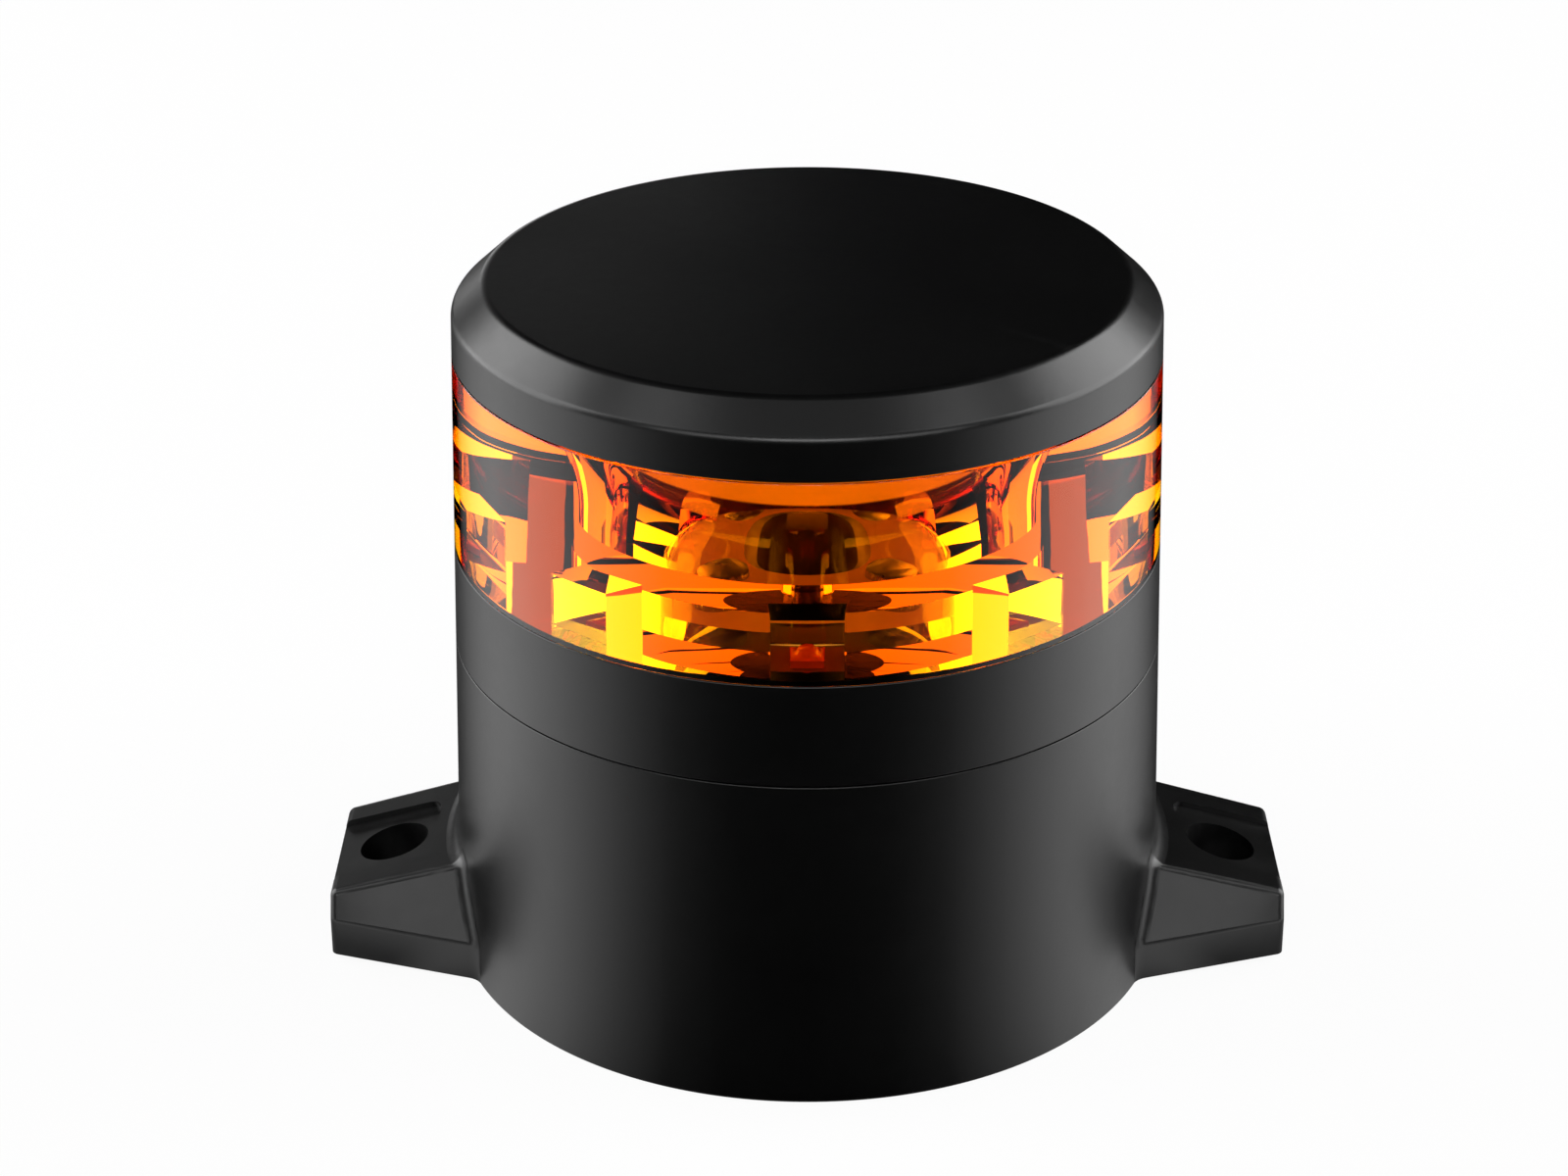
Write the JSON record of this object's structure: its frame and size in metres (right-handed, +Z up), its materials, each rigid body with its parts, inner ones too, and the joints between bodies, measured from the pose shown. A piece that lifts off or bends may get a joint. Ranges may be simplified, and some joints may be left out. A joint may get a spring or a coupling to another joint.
{
  "type": "led beacon",
  "caption": "Short cylindrical warning beacon: black moulded base with two bolt ears, clear amber drum lens with an inner funnel, and a flat black cap.",
  "frame": {"origin": "centre of the foot, on the surface that the beacon is bolted to", "axes": "+Z up along the beacon's axis, X through the two mounting ears"},
  "size_m": [0.1236, 0.092, 0.0905],
  "materials": {
    "black_plastic": "satin moulded black plastic",
    "plate_plastic": "moulded dark grey plastic",
    "amber_lens": "clear amber moulding, polished",
    "black_rubber": "soft black rubber",
    "zinc_steel": "zinc plated",
    "brass": "turned brass",
    "cast_aluminium": "plain cast aluminium",
    "pad_silicone": "grey silicone",
    "board_white": "white solder mask",
    "board_green": "green solder mask",
    "led_resin": "amber resin",
    "ferrite": "pressed ferrite",
    "copper_wire": "enamelled copper",
    "can_aluminium": "drawn aluminium can",
    "chip_resin": "moulded chip resin",
    "terminal_grey": "grey moulded plastic",
    "wire_red": "wire insulation"
  },
  "bodies": {
    "root": {"base_housing": "black_plastic", "collar_ring": "black_plastic", "top_cap": "black_plastic", "base_plate": "plate_plastic", "lens_post": "plate_plastic", "outer_lens": "amber_lens", "base_seal": "black_rubber", "collar_seal": "black_rubber", "lens_seal_lower": "black_rubber", "lens_seal_upper": "black_rubber", "cable_grommet": "black_rubber", "base_plate_screws": "zinc_steel", "board_screws": "zinc_steel", "collar_screws": "zinc_steel", "heat_sink_screws": "zinc_steel", "led_board_screws": "zinc_steel", "tie_screw": "zinc_steel", "board_standoffs": "brass", "cap_insert": "brass", "heat_sink": "cast_aluminium", "thermal_pad": "pad_silicone", "led_board": "board_white", "driver_board": "board_green", "leds": "led_resin", "inductor_core": "ferrite", "inductor_winding": "copper_wire", "capacitors": "can_aluminium", "controller_chip": "chip_resin", "power_switches": "chip_resin", "input_terminal": "terminal_grey", "vent_plug": "terminal_grey", "link_wires": "wire_red"}
  },
  "joints": []
}
